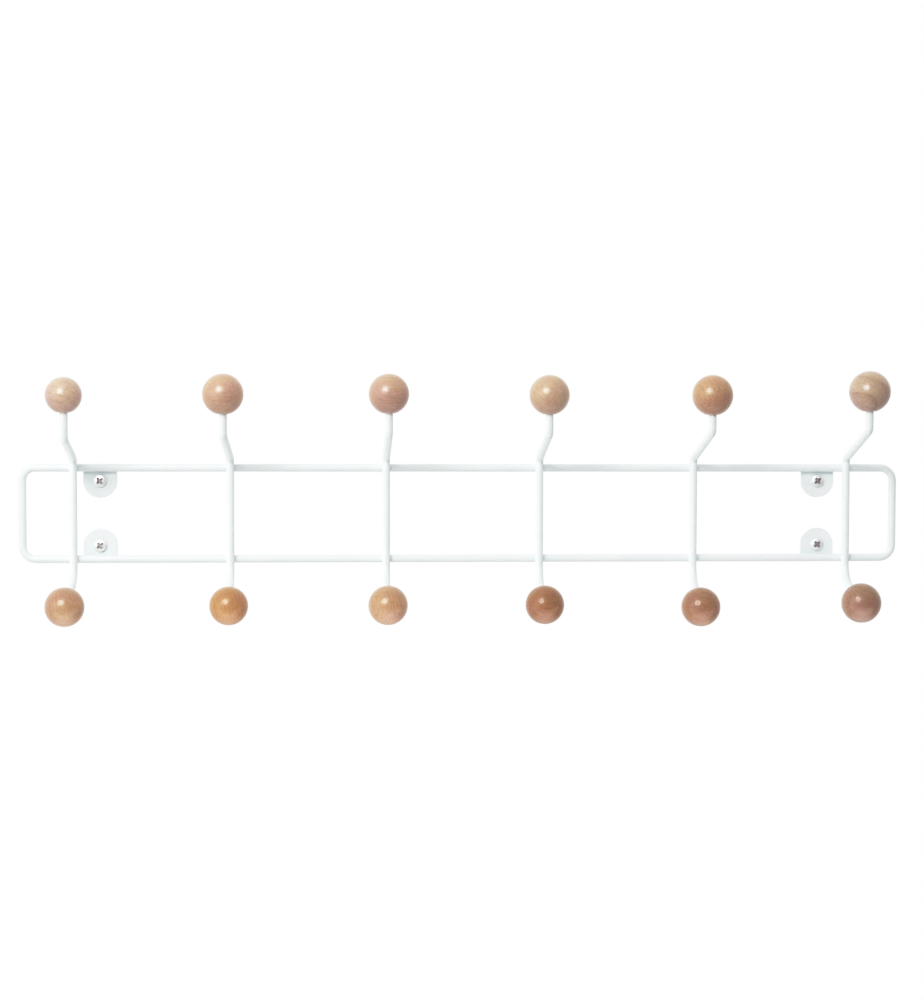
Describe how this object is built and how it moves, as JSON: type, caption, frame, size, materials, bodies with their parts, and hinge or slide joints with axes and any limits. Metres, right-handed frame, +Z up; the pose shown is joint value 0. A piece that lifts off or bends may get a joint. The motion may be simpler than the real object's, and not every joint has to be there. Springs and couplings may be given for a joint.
{
  "type": "wall coat rack",
  "caption": "Wall-mounted coat rack: a long rounded wire frame crossed by double wire hooks, each ending in an upper and a lower wooden ball, fixed by screws through small round-ended tabs.",
  "frame": {"origin": "on the wall plane, midway between the four screw holes", "axes": "+X to the right along the rack as seen from the front, +Y into the wall, +Z up; the front of the rack faces -Y"},
  "size_m": [0.684, 0.1308, 0.194],
  "materials": {
    "white_coating": "satin white powder coat on steel",
    "lacquered_beech": "clear satin lacquer on turned beech",
    "zinc_plate": "bright zinc-plated steel"
  },
  "bodies": {
    "root": {"frame_loop": "white_coating", "hook_1": "white_coating", "hook_2": "white_coating", "hook_3": "white_coating", "hook_4": "white_coating", "hook_5": "white_coating", "hook_6": "white_coating", "upper_ball_1": "lacquered_beech", "upper_ball_2": "lacquered_beech", "upper_ball_3": "lacquered_beech", "upper_ball_4": "lacquered_beech", "upper_ball_5": "lacquered_beech", "upper_ball_6": "lacquered_beech", "lower_ball_1": "lacquered_beech", "lower_ball_2": "lacquered_beech", "lower_ball_3": "lacquered_beech", "lower_ball_4": "lacquered_beech", "lower_ball_5": "lacquered_beech", "lower_ball_6": "lacquered_beech", "tab_upper_left": "white_coating", "tab_upper_right": "white_coating", "tab_lower_left": "white_coating", "tab_lower_right": "white_coating", "screw_upper_left": "zinc_plate", "screw_upper_right": "zinc_plate", "screw_lower_left": "zinc_plate", "screw_lower_right": "zinc_plate"}
  },
  "joints": []
}
